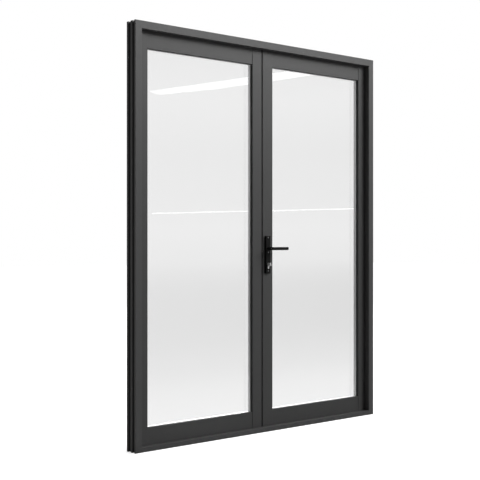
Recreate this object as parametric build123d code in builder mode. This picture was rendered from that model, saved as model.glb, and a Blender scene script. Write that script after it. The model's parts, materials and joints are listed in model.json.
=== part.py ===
"""Outward opening aluminium double door in its own frame.

The frame is four hollow members. Each leaf is two full-height stiles with two rails between
them, round a sealed glass unit held by snap-in beads. The right leaf opens first and carries
the lever lock, the left leaf is held by a flush bolt at its top and bottom.

X runs along the width, Y from the lever side, which the doors close towards, to the side
they open to, and Z up. The origin is on the floor, in the middle of the sill.
All sizes are in millimetres.
"""
import os

from build123d import *

os.makedirs("parts", exist_ok=True)

# Overall size of the frame
overall_width = 1690
overall_height = 2090

# Frame members: each has a wide front leg, the stop, and a narrower rear leg
frame_face = 38
sill_face = 25
rear_leg = 19
sill_rear_leg = 15
stop_depth = 29
wall = 2
edge_radius = 0.8
lip_depth = 10.5
front_groove = 15.5
middle_rib = 17
rear_groove = 18
rear_rib = 14
groove_depth = 8

# Insulating strips on the floors of both grooves
strip_thickness = 2

# Fixing holes through the rear leg of the jambs
fixing_radius = 4
fixing_bottom = 155
fixing_top = 150
fixing_count = 4

# Corner cleats in the front hollow of the frame members
cleat_arm = 70
cleat_clearance = 0.3

# Seal on the stop
seal_space = 3
seal_clearance = 0.3
seal_from_edge = 27
seal_width = 8
sill_seal_width = 4.5
sill_seal_from_top = 1

# Leaves
leaf_gap = 4.5
sill_gap = 4
stile_width = 70
top_rail_height = 100.5
bottom_rail_height = 92
rail_setback = 2
glazing_leg = 22
glazing_leg_depth = 15
active_edge = 1.5
passive_edge = 9.5

# Sealed glass unit and what holds it
glass_thickness = 4
spacer_depth = 16
glass_cover = 15
spacer_width = 8.2
spacer_inset = 0.3
gasket_depth = 3
gasket_width = 8.5
gasket_inset = 0.5
rear_gasket_depth = 2.5
rear_gasket_inset = 5
bead_depth = 7.5
bead_inset = 6
bead_slope = 5
bead_round = 1.5
bead_leg = 3.5
bead_leg_depth = 10
setting_block_length = 80
setting_block_from_corner = 110
block_clearance = 0.3

# Plugs in the open ends of the stiles
cap_thickness = 6
cap_clearance = 0.2

# Hinges: three on each leaf, in the gap between leaf and jamb
hinge_height = 100
hinge_end = 230
hinge_count = 3
hinge_plate = 2
hinge_plate_depth = 42
knuckle_radius = 6
knuckle_segments = 3
knuckle_gap = 0.4
knuckle_setoff = 1
hinge_pin_radius = 3
hinge_pin_clearance = 0.05
pin_head_radius = 4.5
pin_head_height = 3

# Seal profile on the meeting edge of the left leaf
seal_base = 4.5
seal_lip = 3
seal_lip_depth = 10
meeting_seal_end = 1

# Lock in the meeting stile of the right leaf
backset = 29.5
spindle_height = 982
spindle_size = 8
spindle_clearance = 0.1
cylinder_drop = 85
faceplate_width = 24
faceplate_height = 240
faceplate_thickness = 2
faceplate_clearance = 0.2
lock_case_height = 170
lock_case_thickness = 16
lock_case_depth = 43
lock_case_wall = 2
lock_case_rise = 53
follower_radius = 10
latch_rise = 28
latch_height = 18
latch_thickness = 12
latch_length = 28
latch_throw = 11.5
deadbolt_drop = 52
deadbolt_height = 30
deadbolt_length = 34
bolt_clearance = 0.2

# Strike plate on the left leaf
strike_thickness = 2
strike_width = 24
strike_margin = 45
strike_play = 1

# Lock cylinder with its thumb turn
cylinder_radius = 8.5
cylinder_tail = 10
cylinder_height = 33
cylinder_stand_out = 2
cylinder_core_radius = 6.5
core_clearance = 0.05
cam_radius = 12.5
cam_width = 8
cam_slot = 10
knob_length = 17
knob_gap = 0.3
knob_grip = 7
keyway_width = 2
keyway_height = 8
keyway_depth = 20

# Lever handles on long backplates
plate_width = 32
plate_height = 202
plate_thickness = 12
plate_wall = 3
plate_corner = 3
plate_top_above_spindle = 68
boss_radius = 6.5
lever_neck_radius = 8.5
lever_neck_clearance = 0.1
lever_stand_off = 38
lever_grip_height = 17
lever_grip_depth = 12
lever_grip_corner = 5
lever_length = 110
lever_end_radius = 2.5
neck_inset = 8
spindle_hole_radius = 11
plate_screw_radius = 2
plate_screw_head = 4
plate_screw_head_depth = 3
plate_screw_rises = (59, -20, -120)
screw_clearance = 0.3
driver_slot = 1

# Flush bolts of the left leaf
flush_bolt_radius = 4.5
flush_bolt_clearance = 0.08
flush_bolt_inset = 14.5
flush_bolt_length = 380
flush_bolt_throw = 12
finger_piece = 12
finger_piece_width = 8
finger_piece_play = 1
finger_from_end = 30
keep_thickness = 2
keep_size = 24
keep_hole_clearance = 1
keep_hole_depth = 9

# Places worked out from the sizes above
half_width = overall_width / 2
frame_depth = lip_depth + front_groove + middle_rib + rear_groove + rear_rib
frame_front = -frame_depth / 2
frame_back = frame_depth / 2
stop_back = frame_front + stop_depth
leaf_front = stop_back + seal_space
fixing_y = frame_back - rear_rib - rear_groove / 2
front_pane_y = leaf_front + glazing_leg_depth + gasket_depth
spacer_y = front_pane_y + glass_thickness
rear_pane_y = spacer_y + spacer_depth
rear_gasket_y = rear_pane_y + glass_thickness
bead_y = rear_gasket_y + rear_gasket_depth
leaf_back = bead_y + bead_depth
leaf_depth = leaf_back - leaf_front
leaf_middle = (leaf_front + leaf_back) / 2
leaf_edge = half_width - rear_leg - leaf_gap
leaf_bottom = sill_rear_leg + sill_gap
leaf_top = overall_height - rear_leg - leaf_gap
leaf_height = leaf_top - leaf_bottom
leaf_z = (leaf_top + leaf_bottom) / 2
passive_stile_width = stile_width + active_edge - passive_edge

sight_left = active_edge + stile_width
sight_right = leaf_edge - stile_width
sight_bottom = leaf_bottom + bottom_rail_height
sight_top = leaf_top - top_rail_height
pane_x = (sight_left + sight_right) / 2
pane_z = (sight_bottom + sight_top) / 2
pane_width = sight_right - sight_left
pane_height = sight_top - sight_bottom

hinge_x = -(half_width - rear_leg - leaf_gap / 2)
hinge_y = leaf_back + knuckle_radius
hinge_spacing = (overall_height - 2 * hinge_end) / (hinge_count - 1)
hinge_heights = [hinge_end + number * hinge_spacing for number in range(hinge_count)]

spindle_x = active_edge + backset
cylinder_z = spindle_height - cylinder_drop
latch_z = spindle_height + latch_rise
deadbolt_z = spindle_height - deadbolt_drop
lock_case_z = spindle_height + lock_case_rise - lock_case_height / 2
plate_z = spindle_height + plate_top_above_spindle - plate_height / 2
strike_top = latch_z + latch_height / 2 + strike_margin
strike_bottom = deadbolt_z - deadbolt_height / 2 - strike_margin
faceplate_z = lock_case_z
inside_plate_front = leaf_front - plate_thickness
outside_plate_front = leaf_back + plate_thickness
flush_bolt_x = -passive_edge - flush_bolt_inset


def keep(part, name):
    """Name a finished piece and write it to its file."""
    part.label = name
    export_step(part, f"parts/{name}.step")


def upright(y):
    """Plane across the doorway at depth y, with local x along X and local y up."""
    return Plane.XZ.offset(-y)


def along_x(x):
    """Plane square to the width at x, with local x along Y and local y up."""
    return Plane.YZ.offset(x)


def mirrored(part):
    """The same piece on the other side of the doorway."""
    return mirror(part, about=Plane.YZ)


def keep_both(part, name):
    """Keep a piece of the right leaf and its mirror image in the left leaf."""
    keep(mirrored(part), f"left_{name}")
    keep(part, f"right_{name}")


# Frame members
def frame_section(face, rear):
    """Hollow section: x runs in from the outer edge, y from the front to the back."""
    middle_front = lip_depth + front_groove
    middle_back = middle_front + middle_rib
    rear_front = middle_back + rear_groove
    floor = groove_depth + wall
    with BuildSketch() as section:
        with BuildLine():
            Polyline(
                (0, 0), (face, 0), (face, stop_depth), (rear, stop_depth),
                (rear, frame_depth), (0, frame_depth), (0, rear_front),
                (groove_depth, rear_front), (groove_depth, middle_back), (0, middle_back),
                (0, middle_front), (groove_depth, middle_front), (groove_depth, lip_depth),
                (0, lip_depth), close=True,
            )
        make_face()
        fillet(section.vertices().group_by(Axis.Y)[0], radius=edge_radius)
        fillet(section.vertices().group_by(Axis.Y)[-1], radius=edge_radius)
        # Front hollow
        with BuildLine():
            Polyline(
                (wall, wall), (face - wall, wall), (face - wall, stop_depth - wall),
                (floor, stop_depth - wall), (floor, lip_depth - wall),
                (wall, lip_depth - wall), close=True,
            )
        make_face(mode=Mode.SUBTRACT)
        # Hollow of the middle rib
        with BuildLine():
            Polyline(
                (wall, middle_front + wall), (groove_depth, middle_front + wall),
                (groove_depth, middle_back - wall), (wall, middle_back - wall), close=True,
            )
        make_face(mode=Mode.SUBTRACT)
        # Rear hollow
        with BuildLine():
            Polyline(
                (floor, stop_depth + wall), (rear - wall, stop_depth + wall),
                (rear - wall, frame_depth - wall), (wall, frame_depth - wall),
                (wall, rear_front + wall), (floor, rear_front + wall), close=True,
            )
        make_face(mode=Mode.SUBTRACT)
    return section.sketch


left_jamb_plane = Plane((-half_width, frame_front, 0), x_dir=(1, 0, 0), z_dir=(0, 0, 1))
head_plane = Plane(
    (-half_width, frame_front, overall_height), x_dir=(0, 0, -1), z_dir=(1, 0, 0)
)
sill_plane = Plane((half_width, frame_front, 0), x_dir=(0, 0, 1), z_dir=(-1, 0, 0))
top_left_mitre = Plane((-half_width, 0, overall_height), x_dir=(0, 1, 0), z_dir=(1, 0, 1))
top_right_mitre = Plane((half_width, 0, overall_height), x_dir=(0, 1, 0), z_dir=(-1, 0, 1))
bottom_left_mitre = Plane((-half_width, 0, 0), x_dir=(0, 1, 0), z_dir=(1, 0, -1))
bottom_right_mitre = Plane((half_width, 0, 0), x_dir=(0, 1, 0), z_dir=(-1, 0, -1))
keep_y = leaf_middle
keep_hole_radius = flush_bolt_radius + keep_hole_clearance

with BuildPart() as head:
    with BuildSketch(head_plane):
        add(frame_section(frame_face, rear_leg))
    extrude(amount=overall_width)
    split(bisect_by=top_left_mitre, keep=Keep.TOP)
    split(bisect_by=top_right_mitre, keep=Keep.TOP)
    # Hole for the top flush bolt
    with BuildSketch(Plane.XY.offset(overall_height - rear_leg)):
        with Locations((flush_bolt_x, keep_y)):
            Circle(keep_hole_radius)
    extrude(amount=keep_hole_depth, mode=Mode.SUBTRACT)

# Hole for the bottom flush bolt, through the sill and the strip in its rear groove
with BuildPart() as bottom_bolt_hole:
    with BuildSketch(Plane.XY.offset(sill_rear_leg)):
        with Locations((flush_bolt_x, keep_y)):
            Circle(keep_hole_radius)
    extrude(amount=-(sill_rear_leg - groove_depth + strip_thickness))

with BuildPart() as sill:
    with BuildSketch(sill_plane):
        add(frame_section(sill_face, sill_rear_leg))
    extrude(amount=overall_width)
    split(bisect_by=bottom_left_mitre, keep=Keep.TOP)
    split(bisect_by=bottom_right_mitre, keep=Keep.TOP)
    add(bottom_bolt_hole.part, mode=Mode.SUBTRACT)

with BuildPart() as sill_envelope:
    with BuildSketch(sill_plane):
        with BuildLine():
            Polyline(
                (0, 0), (sill_face, 0), (sill_face, stop_depth), (sill_rear_leg, stop_depth),
                (sill_rear_leg, frame_depth), (0, frame_depth), close=True,
            )
        make_face()
    extrude(amount=overall_width)
    split(bisect_by=bottom_left_mitre, keep=Keep.TOP)
    split(bisect_by=bottom_right_mitre, keep=Keep.TOP)

fixing_spacing = (overall_height - fixing_bottom - fixing_top) / (fixing_count - 1)
fixing_heights = [fixing_bottom + number * fixing_spacing for number in range(fixing_count)]
with BuildPart() as fixing_holes:
    with BuildSketch(along_x(-half_width)):
        with Locations(*[(fixing_y, z) for z in fixing_heights]):
            Circle(fixing_radius)
    extrude(amount=rear_leg)

with BuildPart() as left_jamb:
    with BuildSketch(left_jamb_plane):
        add(frame_section(frame_face, rear_leg))
    extrude(amount=overall_height)
    split(bisect_by=top_left_mitre, keep=Keep.BOTTOM)
    add(sill_envelope.part, mode=Mode.SUBTRACT)
    add(fixing_holes.part, mode=Mode.SUBTRACT)

keep(head.part, "head")
keep(sill.part, "sill")
keep(mirrored(left_jamb.part), "right_jamb")
keep(left_jamb.part, "left_jamb")


# Insulating strips on the groove floors, mitred with the frame
def groove_strips(plane, length, lower, upper, side):
    """Both strips of one frame member, between the mitre planes at its ends."""
    rear_start = lip_depth + front_groove + middle_rib
    with BuildPart() as strips:
        with BuildSketch(plane):
            for start, width in ((lip_depth, front_groove), (rear_start, rear_groove)):
                with Locations((groove_depth - strip_thickness / 2, start + width / 2)):
                    Rectangle(strip_thickness, width)
        extrude(amount=length)
        split(bisect_by=lower, keep=side)
        split(bisect_by=upper, keep=side)
    return strips.part


jamb_strips = groove_strips(
    left_jamb_plane, overall_height, bottom_left_mitre, top_left_mitre, Keep.BOTTOM
)
head_strips = groove_strips(
    head_plane, overall_width, top_left_mitre, top_right_mitre, Keep.TOP
)
sill_strips = groove_strips(
    sill_plane, overall_width, bottom_left_mitre, bottom_right_mitre, Keep.TOP
)
with BuildPart() as groove_insulation:
    add(jamb_strips)
    add(fixing_holes.part, mode=Mode.SUBTRACT)
    mirror(about=Plane.YZ)
    add([head_strips, sill_strips])
    add(bottom_bolt_hole.part, mode=Mode.SUBTRACT)
keep(groove_insulation.part, "groove_insulation")


# Corner cleats
def cleat(z_outer, direction, thickness):
    """L-shaped block in the front hollows that meet at a left corner of the frame."""
    inset = groove_depth + wall + cleat_clearance
    near = z_outer + direction * inset
    with BuildPart() as block:
        with BuildSketch(upright(frame_front + lip_depth)):
            with BuildLine():
                Polyline(
                    (-half_width + inset, near),
                    (-half_width + inset + cleat_arm, near),
                    (-half_width + inset + cleat_arm, near + direction * thickness),
                    (-half_width + inset + thickness, near + direction * thickness),
                    (-half_width + inset + thickness, near + direction * cleat_arm),
                    (-half_width + inset, near + direction * cleat_arm), close=True,
                )
            make_face()
        extrude(amount=-(stop_depth - lip_depth - wall - cleat_clearance))
    return block.part


hollow_margin = groove_depth + 2 * wall + 2 * cleat_clearance
top_cleat = cleat(overall_height, -1, frame_face - hollow_margin)
bottom_cleat = cleat(0, 1, sill_face - hollow_margin)
with BuildPart() as corner_cleats:
    add([top_cleat, bottom_cleat, mirrored(top_cleat), mirrored(bottom_cleat)])
keep(corner_cleats.part, "corner_cleats")

# Seal against which both leaves close
seal_bottom = sill_face - sill_seal_from_top - sill_seal_width
seal_top = overall_height - seal_from_edge
seal_half = half_width - seal_from_edge
with BuildPart() as frame_seal:
    with BuildSketch(upright(stop_back)):
        with BuildLine():
            Polyline(
                (-seal_half, seal_bottom), (seal_half, seal_bottom),
                (seal_half, seal_top), (-seal_half, seal_top), close=True,
            )
        make_face()
        with BuildLine():
            Polyline(
                (-seal_half + seal_width, seal_bottom + sill_seal_width),
                (seal_half - seal_width, seal_bottom + sill_seal_width),
                (seal_half - seal_width, seal_top - seal_width),
                (-seal_half + seal_width, seal_top - seal_width), close=True,
            )
        make_face(mode=Mode.SUBTRACT)
    extrude(amount=-(seal_space - seal_clearance))
keep(frame_seal.part, "frame_seal")


# Keeps for the flush bolts, on the faces that the bolts enter
def bolt_keep(z, direction):
    """Square plate with a hole, on a face of the frame."""
    with BuildPart() as plate:
        with BuildSketch(Plane.XY.offset(z)):
            with Locations((flush_bolt_x, frame_back - keep_size / 2 - wall)):
                RectangleRounded(2 * keep_size, keep_size, edge_radius)
            with Locations((flush_bolt_x, keep_y)):
                Circle(keep_hole_radius, mode=Mode.SUBTRACT)
        extrude(amount=direction * keep_thickness)
    return plate.part


keep(bolt_keep(overall_height - rear_leg, -1), "head_bolt_keep")
keep(bolt_keep(sill_rear_leg, 1), "sill_bolt_keep")


# Stiles and rails
def leaf_section(width, front):
    """Hollow section of a stile or rail: x runs in from the leaf's edge, y to the back."""
    body = width - glazing_leg
    with BuildSketch() as section:
        with BuildLine():
            Polyline(
                (0, front), (width, front), (width, glazing_leg_depth),
                (body, glazing_leg_depth), (body, leaf_depth), (0, leaf_depth), close=True,
            )
        make_face()
        fillet(section.vertices().group_by(Axis.Y)[0], radius=edge_radius)
        fillet(section.vertices().group_by(Axis.Y)[-1], radius=edge_radius)
        with BuildLine():
            Polyline(
                (wall, front + wall), (width - wall, front + wall),
                (width - wall, glazing_leg_depth - wall),
                (body - wall, glazing_leg_depth - wall), (body - wall, leaf_depth - wall),
                (wall, leaf_depth - wall), close=True,
            )
        make_face(mode=Mode.SUBTRACT)
    return section.sketch


def cap_section(width):
    """Outline of the plug that closes the end of a stile."""
    edge = wall + cap_clearance
    body = width - glazing_leg
    with BuildSketch() as section:
        with BuildLine():
            Polyline(
                (edge, edge), (width - edge, edge), (width - edge, glazing_leg_depth - edge),
                (body - edge, glazing_leg_depth - edge), (body - edge, leaf_depth - edge),
                (edge, leaf_depth - edge), close=True,
            )
        make_face()
    return section.sketch


def facing_left(x, z):
    """Plane of a section that runs in from x towards -X."""
    return Plane((x, leaf_front, z), x_dir=(-1, 0, 0), z_dir=(0, 0, -1))


def facing_right(x, z):
    """Plane of a section that runs in from x towards +X."""
    return Plane((x, leaf_front, z), x_dir=(1, 0, 0), z_dir=(0, 0, 1))


with BuildPart() as hinge_stile:
    with BuildSketch(facing_left(leaf_edge, leaf_bottom)):
        add(leaf_section(stile_width, 0))
    extrude(amount=-leaf_height)
keep_both(hinge_stile.part, "hinge_stile")


def euro_profile(margin):
    """Outline of the lock cylinder: a circle over a round-ended tail."""
    tail_end = cylinder_height - cylinder_radius - cylinder_tail / 2
    with BuildSketch() as profile:
        Circle(cylinder_radius + margin)
        with Locations((0, -tail_end / 2)):
            Rectangle(cylinder_tail + 2 * margin, tail_end)
        with Locations((0, -tail_end)):
            Circle(cylinder_tail / 2 + margin)
    return profile.sketch


def screw_places():
    """Centres of the backplate screws on an upright plane."""
    return [(spindle_x, spindle_height + rise) for rise in plate_screw_rises]


with BuildPart() as right_meeting_stile:
    with BuildSketch(facing_right(active_edge, leaf_bottom)):
        add(leaf_section(stile_width, 0))
    extrude(amount=leaf_height)
    # Holes through both faces for spindle, cylinder and backplate screws
    with BuildSketch(upright(leaf_front)):
        with Locations((spindle_x, spindle_height)):
            Circle(spindle_hole_radius)
        with Locations((spindle_x, cylinder_z)):
            add(euro_profile(screw_clearance))
        with Locations(*screw_places()):
            Circle(plate_screw_radius + screw_clearance)
    extrude(amount=-leaf_depth, mode=Mode.SUBTRACT)
    # Slot in the edge for the lock's faceplate
    with BuildSketch(along_x(active_edge)):
        with Locations((leaf_middle, faceplate_z)):
            Rectangle(
                faceplate_width + 2 * faceplate_clearance,
                faceplate_height + 2 * faceplate_clearance,
            )
    extrude(amount=wall, mode=Mode.SUBTRACT)
keep(right_meeting_stile.part, "right_meeting_stile")

# Slots for the finger pieces of the flush bolts: travel of the bolt plus some play
finger_top_z = leaf_top - flush_bolt_length + finger_from_end
finger_bottom_z = leaf_bottom + flush_bolt_length - finger_from_end
finger_slot_height = finger_piece + 2 * flush_bolt_throw + 2 * finger_piece_play
finger_slot_width = finger_piece_width + 2 * finger_piece_play
pocket_width = latch_thickness + 2 * strike_play


def strike_pockets():
    """Openings for latch and deadbolt, with local x along Y and local y up."""
    with BuildSketch() as pockets:
        with Locations((leaf_middle, latch_z)):
            Rectangle(pocket_width, latch_height + 2 * strike_play)
        with Locations((leaf_middle, deadbolt_z)):
            Rectangle(pocket_width, deadbolt_height + 2 * strike_play)
    return pockets.sketch


def finger_slots():
    """Openings for the finger pieces, with local x along Y and local y up."""
    with BuildSketch() as slots:
        with Locations((leaf_middle, finger_top_z), (leaf_middle, finger_bottom_z)):
            Rectangle(finger_slot_width, finger_slot_height)
    return slots.sketch


with BuildPart() as left_meeting_stile:
    with BuildSketch(facing_left(-passive_edge, leaf_bottom)):
        add(leaf_section(passive_stile_width, 0))
    extrude(amount=-leaf_height)
    with BuildSketch(along_x(-passive_edge)):
        add(strike_pockets())
        add(finger_slots())
    extrude(amount=-wall, mode=Mode.SUBTRACT)
keep(left_meeting_stile.part, "left_meeting_stile")

# Rails run between the stiles and are notched round the stiles' glazing legs
rail_length = pane_width + 2 * glazing_leg
top_rail_plane = Plane(
    (sight_left - glazing_leg, leaf_front, leaf_top), x_dir=(0, 0, -1), z_dir=(1, 0, 0)
)
bottom_rail_plane = Plane(
    (sight_right + glazing_leg, leaf_front, leaf_bottom), x_dir=(0, 0, 1), z_dir=(-1, 0, 0)
)


def rail(plane, height):
    """A rail of the right leaf between its two stiles."""
    with BuildPart() as member:
        with BuildSketch(plane):
            add(leaf_section(height, rail_setback))
        extrude(amount=rail_length)
        for x in (sight_left - glazing_leg / 2, sight_right + glazing_leg / 2):
            with Locations((x, leaf_front + glazing_leg_depth / 2, leaf_z)):
                Box(glazing_leg, glazing_leg_depth, leaf_height, mode=Mode.SUBTRACT)
    return member.part


keep_both(rail(top_rail_plane, top_rail_height), "top_rail")
keep_both(rail(bottom_rail_plane, bottom_rail_height), "bottom_rail")


# Plugs in the stile ends
def stile_plugs(plane_at, width, sign):
    """The bottom and the top plug of one stile."""
    with BuildPart() as plugs:
        with BuildSketch(plane_at(leaf_bottom)):
            add(cap_section(width))
        extrude(amount=sign * cap_thickness)
        with BuildSketch(plane_at(leaf_top)):
            add(cap_section(width))
        extrude(amount=-sign * cap_thickness)
    return plugs.part


hinge_plugs = stile_plugs(lambda z: facing_left(leaf_edge, z), stile_width, -1)
active_plugs = stile_plugs(lambda z: facing_right(active_edge, z), stile_width, 1)
passive_plugs = stile_plugs(
    lambda z: facing_left(-passive_edge, z), passive_stile_width, -1
)

with BuildPart() as right_stile_caps:
    add([hinge_plugs, active_plugs])
keep(right_stile_caps.part, "right_stile_caps")

with BuildPart() as left_stile_caps:
    add([mirrored(hinge_plugs), passive_plugs])
    # The meeting stile's plugs guide the flush bolts
    with BuildSketch(Plane.XY.offset(leaf_bottom)):
        with Locations((flush_bolt_x, leaf_middle)):
            Circle(flush_bolt_radius + flush_bolt_clearance)
    extrude(amount=leaf_height, mode=Mode.SUBTRACT)
keep(left_stile_caps.part, "left_stile_caps")


# Sealed glass unit
def pane_ring(inner, outer, front, depth):
    """Ring round the pane of the right leaf, from inner to outer outside the sightline."""
    with BuildPart() as ring:
        with BuildSketch(upright(front)):
            with Locations((pane_x, pane_z)):
                Rectangle(pane_width + 2 * outer, pane_height + 2 * outer)
                Rectangle(pane_width + 2 * inner, pane_height + 2 * inner, mode=Mode.SUBTRACT)
        extrude(amount=-depth)
    return ring.part


def pane(front):
    """One sheet of glass."""
    with BuildPart() as sheet:
        with BuildSketch(upright(front)):
            with Locations((pane_x, pane_z)):
                Rectangle(pane_width + 2 * glass_cover, pane_height + 2 * glass_cover)
        extrude(amount=-glass_thickness)
    return sheet.part


spacer_outer = spacer_inset + spacer_width
keep_both(pane(front_pane_y), "front_pane")
keep_both(pane(rear_pane_y), "rear_pane")
keep_both(pane_ring(spacer_inset, spacer_outer, spacer_y, spacer_depth), "spacer")
keep_both(pane_ring(spacer_outer, glass_cover, spacer_y, spacer_depth), "edge_sealant")

gasket_outer = gasket_inset + gasket_width
front_gasket_y = leaf_front + glazing_leg_depth
keep_both(
    pane_ring(gasket_inset, gasket_outer, front_gasket_y, gasket_depth), "front_gasket"
)
rear_gasket_outer = rear_gasket_inset + gasket_width
keep_both(
    pane_ring(rear_gasket_inset, rear_gasket_outer, rear_gasket_y, rear_gasket_depth),
    "rear_gasket",
)


# Glazing beads: four mitred strips with a leg that snaps in beside the glass
def bead_section():
    """Sloped L-section: x runs out from the sightline, y to the back."""
    with BuildSketch() as section:
        with BuildLine():
            Polyline(
                (bead_inset, bead_y), (glazing_leg - bead_leg, bead_y),
                (glazing_leg - bead_leg, bead_y - bead_leg_depth),
                (glazing_leg, bead_y - bead_leg_depth), (glazing_leg, leaf_back),
                (bead_inset + bead_slope, leaf_back), close=True,
            )
        make_face()
        outer_corner = section.vertices().group_by(Axis.Y)[-1].sort_by(Axis.X)[0]
        fillet(outer_corner, radius=bead_round)
    return section.sketch


reach = glazing_leg
left_bead_plane = Plane(
    (sight_left, 0, sight_bottom - reach), x_dir=(-1, 0, 0), z_dir=(0, 0, -1)
)
bottom_bead_plane = Plane(
    (sight_left - reach, 0, sight_bottom), x_dir=(0, 0, -1), z_dir=(1, 0, 0)
)
lower_mitre = Plane((sight_left, 0, sight_bottom), x_dir=(0, 1, 0), z_dir=(1, 0, -1))
upper_mitre = Plane((sight_left, 0, sight_top), x_dir=(0, 1, 0), z_dir=(1, 0, 1))
far_mitre = Plane((sight_right, 0, sight_bottom), x_dir=(0, 1, 0), z_dir=(-1, 0, -1))

with BuildPart() as upright_bead:
    with BuildSketch(left_bead_plane):
        add(bead_section())
    extrude(amount=-(pane_height + 2 * reach))
    split(bisect_by=lower_mitre, keep=Keep.BOTTOM)
    split(bisect_by=upper_mitre, keep=Keep.BOTTOM)

with BuildPart() as level_bead:
    with BuildSketch(bottom_bead_plane):
        add(bead_section())
    extrude(amount=pane_width + 2 * reach)
    split(bisect_by=lower_mitre, keep=Keep.TOP)
    split(bisect_by=far_mitre, keep=Keep.TOP)

with BuildPart() as beads:
    add(upright_bead.part)
    add(level_bead.part)
    mirror(upright_bead.part, about=Plane.YZ.offset(pane_x))
    mirror(level_bead.part, about=Plane.XY.offset(pane_z))
keep_both(beads.part, "glazing_beads")

# Setting blocks under the glass: they stand on the bottom rail and bridge the bead's leg
block_top = sight_bottom - glass_cover
block_foot = sight_bottom - glazing_leg
bridge_foot = sight_bottom - glazing_leg + bead_leg + block_clearance
block_back = bead_y - bead_leg_depth - block_clearance
block_reach = pane_width / 2 - setting_block_from_corner
with BuildPart() as setting_blocks:
    for middle in (pane_x - block_reach, pane_x + block_reach):
        with BuildSketch(along_x(middle - setting_block_length / 2)):
            with BuildLine():
                Polyline(
                    (front_pane_y, block_foot), (block_back, block_foot),
                    (block_back, bridge_foot), (rear_gasket_y, bridge_foot),
                    (rear_gasket_y, block_top), (front_pane_y, block_top), close=True,
                )
            make_face()
        extrude(amount=setting_block_length)
keep_both(setting_blocks.part, "setting_blocks")

# Hinges
plate_back = hinge_y - knuckle_radius - knuckle_setoff
segment = hinge_height / knuckle_segments


def hinge_half(plate_x, first):
    """One half of the left hinges: flat plates and every other knuckle segment."""
    with BuildPart() as half:
        for z in hinge_heights:
            with BuildSketch(Plane.XY.offset(z - hinge_height / 2)):
                with Locations((plate_x, plate_back - hinge_plate_depth / 2)):
                    Rectangle(hinge_plate, hinge_plate_depth)
            extrude(amount=hinge_height)
            for number in range(first, knuckle_segments, 2):
                start = z - hinge_height / 2 + number * segment + knuckle_gap / 2
                with BuildSketch(Plane.XY.offset(start)):
                    with Locations((hinge_x, hinge_y)):
                        Circle(knuckle_radius)
                    with Locations((plate_x, (plate_back + hinge_y) / 2)):
                        Rectangle(hinge_plate, hinge_y - plate_back)
                    with Locations((hinge_x, hinge_y)):
                        Circle(hinge_pin_radius + hinge_pin_clearance, mode=Mode.SUBTRACT)
                extrude(amount=segment - knuckle_gap)
    return half.part


frame_plate_x = -half_width + rear_leg + hinge_plate / 2
door_plate_x = -leaf_edge - hinge_plate / 2
left_frame_hinges = hinge_half(frame_plate_x, 0)
left_door_hinges = hinge_half(door_plate_x, 1)
keep(mirrored(left_frame_hinges), "right_frame_hinges")
keep(mirrored(left_door_hinges), "right_door_hinges")
keep(left_frame_hinges, "left_frame_hinges")
keep(left_door_hinges, "left_door_hinges")

with BuildPart() as hinge_pins:
    for z in hinge_heights:
        with BuildSketch(Plane.XY.offset(z - hinge_height / 2)):
            with Locations((hinge_x, hinge_y)):
                Circle(hinge_pin_radius)
        extrude(amount=hinge_height)
        for end, direction in ((z + hinge_height / 2, 1), (z - hinge_height / 2, -1)):
            with BuildSketch(Plane.XY.offset(end)):
                with Locations((hinge_x, hinge_y)):
                    Circle(pin_head_radius)
            extrude(amount=direction * pin_head_height)
keep(mirrored(hinge_pins.part), "right_hinge_pins")
keep(hinge_pins.part, "left_hinge_pins")

# Seal profile down the meeting edge of the left leaf
with BuildPart() as meeting_seal:
    with BuildSketch(Plane.XY.offset(leaf_bottom + meeting_seal_end)):
        with BuildLine():
            Polyline(
                (-passive_edge, leaf_front + meeting_seal_end),
                (-passive_edge + seal_base + seal_lip, leaf_front + meeting_seal_end),
                (-passive_edge + seal_base + seal_lip, leaf_front + seal_lip_depth),
                (-passive_edge + seal_base, leaf_front + seal_lip_depth),
                (-passive_edge + seal_base, leaf_back - seal_lip_depth),
                (-passive_edge + seal_base + seal_lip, leaf_back - seal_lip_depth),
                (-passive_edge + seal_base + seal_lip, leaf_back - meeting_seal_end),
                (-passive_edge, leaf_back - meeting_seal_end), close=True,
            )
        make_face()
    extrude(amount=leaf_height - 2 * meeting_seal_end)
    with BuildSketch(along_x(-passive_edge)):
        add(strike_pockets())
        add(finger_slots())
    extrude(amount=seal_base, mode=Mode.SUBTRACT)
keep(meeting_seal.part, "meeting_seal")

# Strike plate between the lips of the seal profile
with BuildPart() as strike_plate:
    with BuildSketch(along_x(-passive_edge + seal_base)):
        with Locations((leaf_middle, (strike_top + strike_bottom) / 2)):
            RectangleRounded(strike_width, strike_top - strike_bottom, plate_corner)
        add(strike_pockets(), mode=Mode.SUBTRACT)
    extrude(amount=strike_thickness)
keep(strike_plate.part, "strike_plate")


# Flush bolts
def flush_bolt(outer_z, direction, finger_z):
    """Round rod with a finger piece that reaches through the stile's edge."""
    finger_end = -passive_edge + seal_base + seal_lip / 2
    with BuildPart() as bolt:
        with BuildSketch(Plane.XY.offset(outer_z)):
            with Locations((flush_bolt_x, leaf_middle)):
                Circle(flush_bolt_radius)
        extrude(amount=-direction * flush_bolt_length)
        chamfer(
            bolt.edges().filter_by(GeomType.CIRCLE).sort_by(Axis.Z)[-1 if direction > 0 else 0],
            length=1,
        )
        with Locations(((flush_bolt_x + finger_end) / 2, leaf_middle, finger_z)):
            Box(finger_end - flush_bolt_x, finger_piece_width, finger_piece)
    return bolt.part


keep(flush_bolt(leaf_top, 1, finger_top_z), "top_flush_bolt")
keep(flush_bolt(leaf_bottom, -1, finger_bottom_z), "bottom_flush_bolt")

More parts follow.
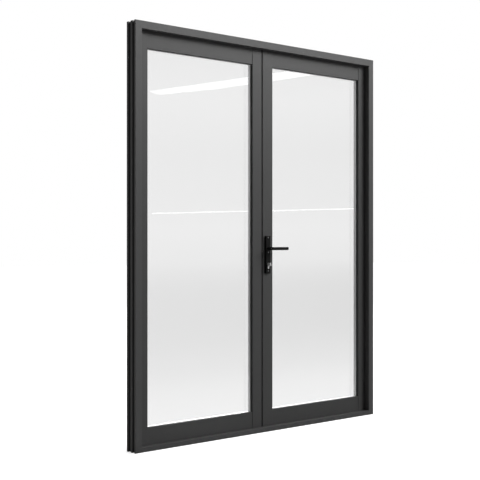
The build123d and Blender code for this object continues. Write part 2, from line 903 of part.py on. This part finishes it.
# Lock case, open towards the faceplate
case_front_x = active_edge + faceplate_thickness
case_middle_x = case_front_x + lock_case_depth / 2
with BuildPart() as lock_case:
    with Locations((case_middle_x, leaf_middle, lock_case_z)):
        Box(lock_case_depth, lock_case_thickness, lock_case_height)
    with Locations((case_middle_x - lock_case_wall, leaf_middle, lock_case_z)):
        Box(
            lock_case_depth, lock_case_thickness - 2 * lock_case_wall,
            lock_case_height - 2 * lock_case_wall, mode=Mode.SUBTRACT,
        )
    with BuildSketch(upright(leaf_middle - lock_case_thickness / 2)):
        with Locations((spindle_x, spindle_height)):
            Circle(follower_radius - 1)
        with Locations((spindle_x, cylinder_z)):
            add(euro_profile(screw_clearance))
        with Locations(*screw_places()[1:2]):
            Circle(plate_screw_radius + screw_clearance)
    extrude(amount=-lock_case_thickness, mode=Mode.SUBTRACT)
keep(lock_case.part, "lock_case")

with BuildPart() as lock_faceplate:
    with BuildSketch(along_x(active_edge)):
        with Locations((leaf_middle, faceplate_z)):
            Rectangle(faceplate_width, faceplate_height)
        with Locations((leaf_middle, latch_z)):
            Rectangle(
                latch_thickness + 2 * bolt_clearance, latch_height + 2 * bolt_clearance,
                mode=Mode.SUBTRACT,
            )
        with Locations((leaf_middle, deadbolt_z)):
            Rectangle(
                latch_thickness + 2 * bolt_clearance, deadbolt_height + 2 * bolt_clearance,
                mode=Mode.SUBTRACT,
            )
    extrude(amount=faceplate_thickness)
keep(lock_faceplate.part, "lock_faceplate")

# Latch and deadbolt, both shown drawn back into the lock
with BuildPart() as latch_bolt:
    with BuildSketch(Plane.XY.offset(latch_z - latch_height / 2)):
        with BuildLine():
            Polyline(
                (active_edge + latch_throw, leaf_middle - latch_thickness / 2),
                (active_edge + latch_length, leaf_middle - latch_thickness / 2),
                (active_edge + latch_length, leaf_middle + latch_thickness / 2),
                (active_edge, leaf_middle + latch_thickness / 2),
                (active_edge, leaf_middle + latch_thickness / 2 - wall), close=True,
            )
        make_face()
    extrude(amount=latch_height)
keep(latch_bolt.part, "latch_bolt")

with BuildPart() as deadbolt:
    with Locations((active_edge + deadbolt_length / 2, leaf_middle, deadbolt_z)):
        Box(deadbolt_length, latch_thickness, deadbolt_height)
    fillet(deadbolt.edges().group_by(Axis.X)[0], radius=edge_radius)
keep(deadbolt.part, "deadbolt")

# Lock cylinder: fixed body, turning core with its cam, and the thumb turn
cylinder_front = inside_plate_front - cylinder_stand_out
cylinder_back = outside_plate_front + cylinder_stand_out
cylinder_length = cylinder_back - cylinder_front
with BuildPart() as cylinder_body:
    with BuildSketch(upright(cylinder_front)):
        with Locations((spindle_x, cylinder_z)):
            add(euro_profile(0))
            Circle(cylinder_core_radius, mode=Mode.SUBTRACT)
    extrude(amount=-cylinder_length)
    # Gap in which the cam turns
    with Locations((spindle_x, leaf_middle, cylinder_z)):
        Box(
            2 * cam_radius + 2, cam_slot, 2 * cam_radius + 2,
            mode=Mode.SUBTRACT,
        )
keep(cylinder_body.part, "cylinder_body")

with BuildPart() as cylinder_core:
    with BuildSketch(upright(cylinder_front)):
        with Locations((spindle_x, cylinder_z)):
            Circle(cylinder_core_radius - core_clearance)
    extrude(amount=-cylinder_length)
    with BuildSketch(upright(leaf_middle - cam_width / 2)):
        with Locations((spindle_x, cylinder_z)):
            Circle(cylinder_radius - core_clearance)
        with Locations((spindle_x, cylinder_z - cam_radius / 2)):
            Rectangle(cam_width, cam_radius)
    extrude(amount=-cam_width)
    # Keyway in the outside end
    with BuildSketch(upright(cylinder_back)):
        with Locations((spindle_x, cylinder_z)):
            Rectangle(keyway_width, keyway_height)
    extrude(amount=keyway_depth, mode=Mode.SUBTRACT)
keep(cylinder_core.part, "cylinder_core")

with BuildPart() as thumb_turn:
    with BuildSketch(upright(cylinder_front - knob_gap)):
        with Locations((spindle_x, cylinder_z)):
            Circle(cylinder_radius)
    extrude(amount=knob_length)
    # Flats on both sides of the grip
    grip_length = knob_length * 0.65
    for side in (-1, 1):
        offset_x = side * (knob_grip / 2 + cylinder_radius / 2)
        grip_y = cylinder_front - knob_gap - knob_length + grip_length / 2
        with Locations((spindle_x + offset_x, grip_y, cylinder_z)):
            Box(cylinder_radius, grip_length, 2 * cylinder_radius, mode=Mode.SUBTRACT)
    fillet(thumb_turn.edges().group_by(Axis.Y)[0], radius=edge_radius)
    # Neck that joins the knob to the core
    with BuildSketch(upright(cylinder_front)):
        with Locations((spindle_x, cylinder_z)):
            Circle(cylinder_core_radius - core_clearance)
    extrude(amount=knob_gap)
keep(thumb_turn.part, "thumb_turn")

# Backplates: hollow covers with bosses round the holes
with BuildPart() as inside_backplate:
    with BuildSketch(upright(leaf_front)):
        with Locations((spindle_x, plate_z)):
            RectangleRounded(plate_width, plate_height, plate_corner)
    extrude(amount=plate_thickness)
    fillet(inside_backplate.faces().sort_by(Axis.Y)[0].edges(), radius=2 * edge_radius)
    with BuildSketch(upright(leaf_front)):
        with Locations((spindle_x, plate_z)):
            Rectangle(plate_width - 2 * plate_wall, plate_height - 2 * plate_wall)
        with Locations((spindle_x, spindle_height)):
            Circle(lever_neck_radius + plate_wall, mode=Mode.SUBTRACT)
        with Locations((spindle_x, cylinder_z)):
            add(euro_profile(plate_wall), mode=Mode.SUBTRACT)
        with Locations(*screw_places()):
            Circle(boss_radius, mode=Mode.SUBTRACT)
    extrude(amount=plate_thickness - plate_wall, mode=Mode.SUBTRACT)
    with BuildSketch(upright(leaf_front)):
        with Locations((spindle_x, spindle_height)):
            Circle(lever_neck_radius + lever_neck_clearance)
        with Locations((spindle_x, cylinder_z)):
            add(euro_profile(screw_clearance))
        with Locations(*screw_places()):
            Circle(plate_screw_radius + screw_clearance)
    extrude(amount=plate_thickness, mode=Mode.SUBTRACT)
    with BuildSketch(upright(inside_plate_front)):
        with Locations(*screw_places()):
            Circle(plate_screw_head + screw_clearance)
    extrude(amount=-plate_screw_head_depth, mode=Mode.SUBTRACT)
outside_backplate = mirror(inside_backplate.part, about=Plane.XZ.offset(-leaf_middle))
keep(outside_backplate, "outside_backplate")
keep(inside_backplate.part, "inside_backplate")

# Screws through both backplates, with sleeve nuts of the same size outside
with BuildPart() as backplate_screws:
    with BuildSketch(upright(inside_plate_front)):
        with Locations(*screw_places()):
            Circle(plate_screw_head)
    extrude(amount=-plate_screw_head_depth)
    with BuildSketch(upright(inside_plate_front)):
        with Locations(*screw_places()):
            Circle(plate_screw_radius)
    extrude(amount=-(outside_plate_front - inside_plate_front - plate_screw_head_depth))
    with BuildSketch(upright(outside_plate_front - plate_screw_head_depth)):
        with Locations(*screw_places()):
            Circle(plate_screw_head)
    extrude(amount=-plate_screw_head_depth)
    with BuildSketch(upright(inside_plate_front)):
        with Locations(*screw_places()):
            Rectangle(2 * plate_screw_head, driver_slot, rotation=30)
    extrude(amount=-driver_slot, mode=Mode.SUBTRACT)
keep(backplate_screws.part, "backplate_screws")

# Lever: round neck and a level grip, the same on both sides
grip_y = inside_plate_front - lever_stand_off
neck_start = inside_plate_front + neck_inset
with BuildPart() as lever_neck:
    with BuildSketch(upright(neck_start)):
        with Locations((spindle_x, spindle_height)):
            Circle(lever_neck_radius)
    extrude(amount=neck_start - grip_y + lever_grip_depth / 2)
    fillet(lever_neck.edges().group_by(Axis.Y)[0], radius=lever_end_radius)

with BuildPart() as inside_lever:
    with BuildSketch(along_x(spindle_x)):
        with Locations((grip_y, spindle_height)):
            RectangleRounded(lever_grip_depth, lever_grip_height, lever_grip_corner)
    extrude(amount=lever_length)
    fillet(inside_lever.edges().group_by(Axis.X)[-1], radius=lever_end_radius)
    add(lever_neck.part)
    # Square socket for the spindle
    with BuildSketch(upright(neck_start)):
        with Locations((spindle_x, spindle_height)):
            Rectangle(spindle_size + 2 * spindle_clearance, spindle_size + 2 * spindle_clearance)
    extrude(amount=lever_stand_off * 0.75, mode=Mode.SUBTRACT)
outside_lever = mirror(inside_lever.part, about=Plane.XZ.offset(-leaf_middle))
keep(outside_lever, "outside_lever")
keep(inside_lever.part, "inside_lever")

spindle_end = neck_start - lever_stand_off * 0.7
spindle_length = 2 * (leaf_middle - spindle_end)
with BuildPart() as spindle:
    with Locations((spindle_x, leaf_middle, spindle_height)):
        Box(spindle_size, spindle_length, spindle_size)
keep(spindle.part, "spindle")

follower_thickness = lock_case_thickness - 2 * lock_case_wall - 2 * bolt_clearance
with BuildPart() as lock_follower:
    with BuildSketch(upright(leaf_middle - follower_thickness / 2)):
        with Locations((spindle_x, spindle_height)):
            Circle(follower_radius)
            Rectangle(
                spindle_size + 2 * spindle_clearance, spindle_size + 2 * spindle_clearance,
                mode=Mode.SUBTRACT,
            )
    extrude(amount=-follower_thickness)
keep(lock_follower.part, "lock_follower")
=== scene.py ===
"""Looks of the double door: finishes, sealed glass, small fasteners, studio and camera."""
import json
import math

import bmesh
import bpy
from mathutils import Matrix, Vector


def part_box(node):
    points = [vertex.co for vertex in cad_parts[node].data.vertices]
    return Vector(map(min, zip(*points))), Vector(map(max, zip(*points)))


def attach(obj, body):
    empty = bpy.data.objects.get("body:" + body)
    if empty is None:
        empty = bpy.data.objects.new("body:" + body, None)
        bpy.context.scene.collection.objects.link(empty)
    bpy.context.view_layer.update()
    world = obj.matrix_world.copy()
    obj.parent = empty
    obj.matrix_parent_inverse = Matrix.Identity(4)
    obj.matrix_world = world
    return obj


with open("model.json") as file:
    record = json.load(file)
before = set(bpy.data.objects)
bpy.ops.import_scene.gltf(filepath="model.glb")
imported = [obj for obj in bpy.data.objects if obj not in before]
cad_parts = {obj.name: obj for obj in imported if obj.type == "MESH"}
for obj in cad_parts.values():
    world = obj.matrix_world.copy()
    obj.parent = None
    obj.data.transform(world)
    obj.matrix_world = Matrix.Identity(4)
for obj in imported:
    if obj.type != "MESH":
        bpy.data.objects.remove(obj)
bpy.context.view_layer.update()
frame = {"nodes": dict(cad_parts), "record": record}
nodes = frame["nodes"]

# Colours are linear and neutral, as the photograph shows them
FRAME_GREY = 0.059
LEAF_GREY = 0.046
HINGE_GREY = 0.050
SEAL_BLACK = 0.006
PLASTIC_BLACK = 0.010
HANDLE_BLACK = 0.003
SPACER_GREY = 0.85
STEEL_GREY = 0.50
NICKEL_GREY = 0.62
ZINC_GREY = 0.45
SCREW_GREY = 0.18

# Glass: tint of a surface, refractive index and share of a lamp's light that passes
GLASS_TINT = 0.95
GLASS_INDEX = 1.5
GLASS_SHADOW = 0.94

# Most values of a noise lie in this range
NOISE_RANGE = (0.3, 0.7)

# The grain of drawn or brushed metal runs along the axis with the small stretch
ALONG_X = (0.02, 1.0, 1.0)
ALONG_Y = (1.0, 0.02, 1.0)
ALONG_Z = (1.0, 1.0, 0.02)

# Screw heads. Rings and the cross recess are in shares of the radius and of the height
HEAD_SIDES = 16
HEAD_RINGS = [(1.0, 0.0), (0.96, 0.45), (0.80, 0.85), (0.62, 1.0)]
RECESS_ARM = 0.50
RECESS_WAIST = 0.16
RECESS_DEPTH = 0.55
SCREW_RADIUS = 0.0030
SCREW_HEIGHT = 0.0008
FLUSH_RADIUS = 0.0036
FLUSH_HEIGHT = 0.00015

# Distance of the screws from the ends of their plates
FACEPLATE_INSET = 0.010
STRIKE_INSET = 0.014
KEEP_INSET = 0.008

# Hinges of a leaf: their number, half a pin's length, the depth of a plate, how far back its
# front edge is looked for, and the places (y, z) of the screws from the middle of a plate
HINGE_COUNT = 3
HINGE_END = 0.053
HINGE_PLATE = 0.042
HINGE_PLATE_EDGE = 0.001
HINGE_SCREWS = [(-0.008, -0.040), (0.008, -0.014), (-0.008, 0.014), (0.008, 0.040)]

# Soft fins of the meeting seal
FIN_THICKNESS = 0.0010
FIN_INSET = 0.0020
FIN_GAP = 0.0003

# Camera: a level view, as the upright edges stay parallel in the photograph
CAMERA_X = -3.5404
CAMERA_TO_FRONT = 3.9633
CAMERA_HEIGHT = 1.0284
CAMERA_TURN = math.radians(-40.24)
CAMERA_LENS = 74.36
SENSOR_WIDTH = 36.0

# Floor. Its glow rises between two distances from the door, to end as white as the background
FLOOR_SIZE = 60.0
FLOOR_WHITE = 0.80
FLOOR_BOUNCE = 0.25
FLOOR_GLOW = (0.70, 1.02)
FLOOR_GLOW_REACH = (2.0, 9.0)

# Faint light of the surroundings on dull surfaces, against the direction's X
AMBIENT = (0.02, 0.40)
AMBIENT_SIDES = (-0.2, 1.0)

# Strength of the mirrored room in front of the door and behind it, against the direction's Y
ROOM_STRENGTH = (1.0, 1.5)
ROOM_SIDES = (-0.1, 0.1)

# Level of the floor in mirror images against its distance from the door, as a share of its half
MIRRORED_FLOOR = [
    (0.0, 1.0), (0.04, 0.67), (0.07, 0.33), (0.12, 0.08), (0.18, 0.0), (0.35, 0.0),
    (0.5, 0.12), (0.75, 0.3), (1.0, 0.45),
]
# Level of the mirrored surroundings against the height of the ray: 0.5 is level
MIRRORED_ROOM = [
    (0.0, 0.3), (0.48, 0.40), (0.49, 0.45), (0.505, 0.62), (0.52, 0.50), (0.545, 0.45),
    (0.57, 0.65), (0.60, 0.40), (0.70, 0.10), (1.0, 0.05),
]

# Strip lights that the glass mirrors, as corners (x, z) on an upright plane in front
STRIP_DEPTH = -6.0
STRIP_STRENGTH = 5.0
STRIPS = {
    "ceiling_strip": [(3.63, 2.827), (4.52, 2.983), (6.30, 3.357), (6.30, 3.464), (3.47, 2.856)],
    "shelf_strip": [(3.53, 1.348), (7.60, 1.495), (7.60, 1.514), (3.53, 1.364)],
}

# Soft lamps: place, target, width and height in metres, and power in watts
LAMPS = {
    "key": ((5.06, -5.60, 6.10), (0.0, 0.0, 1.2), (5.46, 4.01), 665.0),
    "rim": ((-4.0, 0.0, 1.3), (-0.845, 0.0, 1.2), (0.3, 3.0), 30.0),
    "back": ((4.0, 6.5, 5.5), (0.0, 0.0, 1.2), (5.0, 3.5), 320.0),
}


def grey(value):
    """A neutral colour with full alpha."""
    return (value, value, value, 1.0)


# Materials
class Tree:
    """A node tree, with short ways to add nodes to it."""

    def __init__(self, tree):
        self.tree = tree

    def put(self, value, socket):
        """Links another node's output to an input, or sets the input to a constant."""
        if isinstance(value, bpy.types.NodeSocket):
            self.tree.links.new(value, socket)
        else:
            socket.default_value = value

    def add(self, kind, *values, operation=None, **named):
        """A node of this kind, with its inputs given in their order or by name."""
        node = self.tree.nodes.new("ShaderNode" + kind)
        if operation:
            node.operation = operation
        for value, socket in zip(values, node.inputs):
            self.put(value, socket)
        for name, value in named.items():
            self.put(value, node.inputs[name])
        return node

    def calculated(self, operation, first, second):
        """The result of a calculation with two values."""
        return self.add("Math", first, second, operation=operation).outputs["Value"]

    def ranged(self, value, source, target):
        """A value carried over from one range to another, and held at its ends."""
        ends = (*source, *target)
        return self.add("MapRange", value, *ends).outputs["Result"]

    def ramp(self, value, stops):
        """A grey colour ramp with stops given as (position, level)."""
        node = self.add("ValToRGB", value)
        elements = node.color_ramp.elements
        elements[0].position, elements[0].color = stops[0][0], grey(stops[0][1])
        elements[1].position, elements[1].color = stops[-1][0], grey(stops[-1][1])
        for position, level in stops[1:-1]:
            elements.new(position).color = grey(level)
        return node.outputs["Color"]

    def emission(self, colour, strength=1.0):
        return self.add("Emission", Color=colour, Strength=strength).outputs["Emission"]

    def background(self, colour, strength):
        return self.add("Background", Color=colour, Strength=strength).outputs["Background"]

    def mixed(self, factor, low, high):
        """A mix of two shaders: low where the factor is 0, high where it is 1."""
        return self.add("MixShader", factor, low, high).outputs["Shader"]

    def ray_kinds(self):
        """Factors for rays from the camera, scattered by a dull surface and mirrored by glass."""
        path = self.add("LightPath").outputs
        rough = self.calculated("SUBTRACT", 1.0, path["Is Singular Ray"])
        blurred = self.calculated("MULTIPLY", path["Glossy Depth"], rough)
        scattered = self.calculated("MAXIMUM", path["Diffuse Depth"], blurred)
        return path["Is Camera Ray"], scattered, path["Glossy Depth"]


class Surface(Tree):
    """A new material with a Principled shader, whose looks can be varied."""

    def __init__(self, name, level, roughness, metallic=0.0):
        self.material = bpy.data.materials.new(name)
        self.material.use_nodes = True
        super().__init__(self.material.node_tree)
        self.level = level
        self.roughness = roughness
        self.shader = self.tree.nodes["Principled BSDF"]
        self.set("Base Color", grey(level))
        self.set("Roughness", roughness)
        self.set("Metallic", metallic)
        self.place = self.add("TexCoord").outputs["Object"]

    def set(self, name, value):
        """Sets or links one of the shader's inputs."""
        self.put(value, self.shader.inputs[name])

    def show(self, shader):
        """Makes this shader the one that the material shows."""
        self.put(shader, self.tree.nodes["Material Output"].inputs["Surface"])

    def noise(self, scale, detail=2.0, stretch=None):
        """Noise in metres: scale is grains per metre, stretch multiplies each axis."""
        place = self.place
        if stretch:
            place = self.add("Mapping", Vector=place, Scale=stretch).outputs["Vector"]
        return self.add("TexNoise", Vector=place, Scale=scale, Detail=detail).outputs["Fac"]

    def vary_colour(self, noise, least, most):
        """Lets the grey base colour wander between two shares of its level."""
        level = self.ranged(noise, NOISE_RANGE, (self.level * least, self.level * most))
        colour = self.add("CombineColor", Red=level, Green=level, Blue=level)
        self.set("Base Color", colour.outputs["Color"])

    def vary_roughness(self, noise, less, more):
        """Lets the roughness wander by up to less and more than its own value."""
        target = (self.roughness - less, self.roughness + more)
        self.set("Roughness", self.ranged(noise, NOISE_RANGE, target))

    def bump(self, height, distance, strength):
        """Raises the surface by up to distance metres."""
        node = self.add("Bump", Height=height, Distance=distance, Strength=strength)
        self.set("Normal", node.outputs["Normal"])


def powder_coat(name, level, roughness, shine=0.5):
    """Matt powder coating: a fine grain, with slow changes in depth of colour."""
    surface = Surface(name, level, roughness)
    surface.set("Specular IOR Level", shine)
    surface.vary_colour(surface.noise(scale=5.0, detail=3.0), least=0.98, most=1.02)
    surface.vary_roughness(surface.noise(scale=60.0), less=0.02, more=0.02)
    surface.bump(surface.noise(scale=900.0, detail=3.0), distance=0.00004, strength=0.30)
    return surface.material


def rubber(name, level):
    """Extruded rubber: dull, with faint draw lines along it."""
    surface = Surface(name, level, roughness=0.7)
    surface.vary_colour(surface.noise(scale=30.0), least=0.8, most=1.3)
    lines = surface.noise(scale=500.0, stretch=(1.0, 1.0, 0.05))
    surface.bump(lines, distance=0.00005, strength=0.5)
    return surface.material


def plastic(name, level):
    """Moulded plastic with a fine spark-eroded grain."""
    surface = Surface(name, level, roughness=0.5)
    surface.vary_roughness(surface.noise(scale=150.0), less=0.08, more=0.08)
    surface.bump(surface.noise(scale=1500.0), distance=0.00003, strength=0.4)
    return surface.material


def metal(name, level, roughness, stretch):
    """Brushed or drawn metal."""
    surface = Surface(name, level, roughness, metallic=1.0)
    grain = surface.noise(scale=1200.0, detail=3.0, stretch=stretch)
    surface.vary_colour(grain, least=0.9, most=1.1)
    surface.vary_roughness(grain, less=0.06, more=0.08)
    surface.bump(grain, distance=0.00002, strength=0.4)
    return surface.material


def clear_glass(name):
    """Float glass that lets lamp light through to what is behind it."""
    surface = Surface(name, GLASS_TINT, roughness=0.0)
    surface.set("Transmission Weight", 1.0)
    surface.set("IOR", GLASS_INDEX)
    shadow_ray = surface.add("LightPath").outputs["Is Shadow Ray"]
    through = surface.add("BsdfTransparent", Color=grey(GLASS_SHADOW)).outputs["BSDF"]
    surface.show(surface.mixed(shadow_ray, surface.shader.outputs["BSDF"], through))
    return surface.material


FINISHES = {
    "frame_coating": (powder_coat, FRAME_GREY, 0.50),
    "leaf_coating": (powder_coat, LEAF_GREY, 0.50),
    "hinge_coating": (powder_coat, HINGE_GREY, 0.42),
    "handle_coating": (powder_coat, HANDLE_BLACK, 0.50, 0.15),
    "black_rubber": (rubber, SEAL_BLACK),
    "black_plastic": (plastic, PLASTIC_BLACK),
    "insulating_plastic": (plastic, SEAL_BLACK),
    "glass": (clear_glass,),
    "spacer_metal": (metal, SPACER_GREY, 0.45, ALONG_Z),
    "hinge_steel": (metal, STEEL_GREY, 0.30, ALONG_Z),
    "raw_aluminium": (metal, STEEL_GREY, 0.45, ALONG_Z),
    "plate_steel": (metal, STEEL_GREY, 0.35, ALONG_Z),
    "lock_steel": (metal, ZINC_GREY, 0.45, ALONG_Z),
    "bolt_steel": (metal, NICKEL_GREY, 0.28, ALONG_X),
    "screw_steel": (metal, SCREW_GREY, 0.40, ALONG_Y),
    "cylinder_nickel": (metal, NICKEL_GREY, 0.55, ALONG_Y),
}
finishes = {slot: make(slot, *values) for slot, (make, *values) in FINISHES.items()}
for part in frame["record"]["subparts"]:
    piece = nodes[part["node"]]
    piece.data.materials.clear()
    piece.data.materials.append(finishes[part["material_slot"]])


# Small pieces
def add_object(name, data):
    """A new object in the scene."""
    item = bpy.data.objects.new(name, data)
    bpy.context.scene.collection.objects.link(item)
    return item


def add_piece(name, bm, slot, body):
    """Puts a finished mesh in the scene with its finish, riding on a CAD body."""
    bmesh.ops.recalc_face_normals(bm, faces=bm.faces)
    mesh = bpy.data.meshes.new(name)
    bm.to_mesh(mesh)
    bm.free()
    mesh.materials.append(finishes[slot])
    item = add_object(name, mesh)
    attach(item, body)


def block(bm, low, high):
    """Adds a box between two corners."""
    corners = [(x, y, z) for x in (low[0], high[0]) for y in (low[1], high[1])
               for z in (low[2], high[2])]
    made = [bm.verts.new(corner) for corner in corners]
    sides = [(0, 1, 3, 2), (4, 6, 7, 5), (0, 4, 5, 1), (2, 3, 7, 6), (0, 2, 6, 4), (1, 5, 7, 3)]
    for side in sides:
        bm.faces.new([made[index] for index in side])


def screw_head(bm, place, outward, radius, height):
    """Adds a low head with a cross recess, on a face at place that looks outward."""
    turn = outward.to_track_quat("Z", "Y").to_matrix().to_4x4()
    turn.translation = place

    def ring(shares, rise):
        """Points round the head's axis, at shares of its radius and a share of its height."""
        points = []
        for step, share in enumerate(shares):
            angle = 2 * math.pi * step / HEAD_SIDES
            across, up = share * radius * math.cos(angle), share * radius * math.sin(angle)
            points.append(bm.verts.new(turn @ Vector((across, up, rise * height))))
        return points

    cross = [RECESS_WAIST if step % 4 else RECESS_ARM for step in range(HEAD_SIDES)]
    rings = [ring([share] * HEAD_SIDES, rise) for share, rise in HEAD_RINGS]
    rings += [ring(cross, 1.0), ring(cross, 1.0 - RECESS_DEPTH)]
    for outer, inner in zip(rings, rings[1:]):
        for step in range(HEAD_SIDES):
            after = (step + 1) % HEAD_SIDES
            bm.faces.new((outer[step], outer[after], inner[after], inner[step]))
    bm.faces.new(rings[-1])


def screws(name, places, outward, body, radius=SCREW_RADIUS, height=SCREW_HEIGHT):
    """One mesh of equal screw heads."""
    bm = bmesh.new()
    for place in places:
        screw_head(bm, Vector(place), Vector(outward), radius, height)
    add_piece(name, bm, "screw_steel", body)


def make_edge_screws():
    """Heads on the plates in the meeting edges and on the keeps of the flush bolts."""
    for name, node, inset, outward, body in (
            ("faceplate_screws", "lock_faceplate", FACEPLATE_INSET, -1, "right_leaf"),
            ("strike_screws", "strike_plate", STRIKE_INSET, 1, "left_leaf")):
        low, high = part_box(node)
        x = high[0] if outward > 0 else low[0]
        y = (low[1] + high[1]) / 2
        screws(name, [(x, y, z) for z in (low[2] + inset, high[2] - inset)],
               (outward, 0, 0), body)
    for node, outward in (("head_bolt_keep", -1), ("sill_bolt_keep", 1)):
        low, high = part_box(node)
        y = (low[1] + high[1]) / 2
        z = high[2] if outward > 0 else low[2]
        screws(node + "_screws", [(x, y, z) for x in (low[0] + KEEP_INSET, high[0] - KEEP_INSET)],
               (0, 0, outward), "frame")


def make_hinge_screws():
    """Flush countersunk heads on the flat plates of all hinges."""
    for side, sign in (("left", 1), ("right", -1)):
        low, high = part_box(side + "_hinge_pins")
        first, last = low[2] + HINGE_END, high[2] - HINGE_END
        heights = [first + (last - first) * number / (HINGE_COUNT - 1)
                   for number in range(HINGE_COUNT)]
        for half, facing, body in (("frame", 1, "frame"), ("door", -1, side + "_leaf")):
            node = f"{side}_{half}_hinges"
            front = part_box(node)[0][1]
            plate = [vertex.co.x for vertex in nodes[node].data.vertices
                     if vertex.co.y < front + HINGE_PLATE_EDGE]
            outward = sign * facing
            x = max(plate) if outward > 0 else min(plate)
            y = front + HINGE_PLATE / 2
            places = [(x, y + dy, z + dz) for z in heights for dy, dz in HINGE_SCREWS]
            screws(f"{side}_{half}_hinge_screws", places, (outward, 0, 0), body,
                   FLUSH_RADIUS, FLUSH_HEIGHT)


def make_seal_fins():
    """Soft fins of the meeting seal, which close the gap up to the right leaf."""
    low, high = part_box("meeting_seal")
    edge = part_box("right_meeting_stile")[0][0] - FIN_GAP
    bm = bmesh.new()
    for front in (low[1] + FIN_INSET, high[1] - FIN_INSET - FIN_THICKNESS):
        block(bm, (high[0], front, low[2]), (edge, front + FIN_THICKNESS, high[2]))
    add_piece("seal_fins", bm, "black_rubber", "left_leaf")


# Studio and camera
def make_world():
    """White surroundings, with a grey room in mirror images and faint light on the right."""
    world = bpy.data.worlds.new("studio")
    bpy.context.scene.world = world
    world.use_nodes = True
    tree = Tree(world.node_tree)
    white = world.node_tree.nodes["Background"]
    white.inputs["Color"].default_value = grey(1.0)
    white.inputs["Strength"].default_value = 1.0
    direction = tree.add("TexCoord").outputs["Generated"]
    across, depth, height = tree.add("SeparateXYZ", direction).outputs
    ambient = tree.background(grey(1.0), tree.ranged(across, AMBIENT_SIDES, AMBIENT))
    level = tree.ramp(tree.ranged(height, (-1.0, 1.0), (0.0, 1.0)), MIRRORED_ROOM)
    room = tree.background(level, tree.ranged(depth, ROOM_SIDES, ROOM_STRENGTH))
    _, scattered, reflected = tree.ray_kinds()
    shown = tree.mixed(reflected, white.outputs["Background"], room)
    shown = tree.mixed(scattered, shown, ambient)
    tree.put(shown, world.node_tree.nodes["World Output"].inputs["Surface"])


def make_floor():
    """Pale floor that takes the soft shadow of the door."""
    half = FLOOR_SIZE / 2
    surface = Surface("floor", FLOOR_WHITE, roughness=0.9)
    surface.vary_colour(surface.noise(scale=0.8), least=0.99, most=1.01)
    radius = surface.add("VectorMath", surface.place, operation="LENGTH").outputs["Value"]
    glow = surface.emission(grey(1.0), surface.ranged(radius, FLOOR_GLOW_REACH, FLOOR_GLOW))
    lit = surface.add("AddShader", surface.shader.outputs["BSDF"], glow).outputs["Shader"]
    # In mirror images the floor falls off in front of the door
    depth = surface.add("SeparateXYZ", surface.place).outputs["Y"]
    share = surface.calculated("DIVIDE", surface.calculated("ABSOLUTE", depth, 0.0), half)
    mirrored = surface.emission(surface.ramp(share, MIRRORED_FLOOR))
    bounce = surface.add("BsdfDiffuse", Color=grey(FLOOR_BOUNCE)).outputs["BSDF"]
    camera, scattered, reflected = surface.ray_kinds()
    shown = surface.mixed(reflected, surface.emission(grey(1.0)), mirrored)
    shown = surface.mixed(scattered, shown, bounce)
    surface.show(surface.mixed(camera, shown, lit))
    mesh = bpy.data.meshes.new("floor")
    corners = [(-half, -half, 0), (half, -half, 0), (half, half, 0), (-half, half, 0)]
    mesh.from_pydata(corners, [], [range(len(corners))])
    mesh.materials.append(surface.material)
    add_object("floor", mesh)


def make_strips():
    """Thin glowing strips, seen only as mirror images in the glass."""
    surface = Surface("strip_light", 1.0, roughness=1.0)
    surface.show(surface.emission(grey(1.0), STRIP_STRENGTH))
    for name, corners in STRIPS.items():
        mesh = bpy.data.meshes.new(name)
        outline = [(x, STRIP_DEPTH, z) for x, z in corners]
        mesh.from_pydata(outline, [], [range(len(outline))])
        mesh.materials.append(surface.material)
        strip = add_object(name, mesh)
        strip.visible_camera = False
        strip.visible_transmission = False
        strip.visible_diffuse = False
        strip.visible_shadow = False


def make_lamp(name, place, target, size, power):
    """Rectangular soft lamp that shines from a place to a target."""
    light = bpy.data.lights.new(name, "AREA")
    light.shape = "RECTANGLE"
    light.size, light.size_y = size
    light.energy = power
    lamp = add_object(name, light)
    lamp.location = place
    lamp.rotation_euler = (Vector(target) - Vector(place)).to_track_quat("-Z", "Y").to_euler()


def make_camera():
    """Level camera at the photograph's place."""
    data = bpy.data.cameras.new("camera")
    data.lens = CAMERA_LENS
    data.sensor_width = SENSOR_WIDTH
    camera = add_object("camera", data)
    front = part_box("head")[0][1]
    camera.location = (CAMERA_X, front - CAMERA_TO_FRONT, CAMERA_HEIGHT)
    camera.rotation_euler = (math.pi / 2, 0.0, CAMERA_TURN)
    bpy.context.scene.camera = camera


make_edge_screws()
make_hinge_screws()
make_seal_fins()
make_world()
make_floor()
make_strips()
for lamp_name, settings in LAMPS.items():
    make_lamp(lamp_name, *settings)
make_camera()
bpy.context.scene.view_settings.view_transform = "Standard"
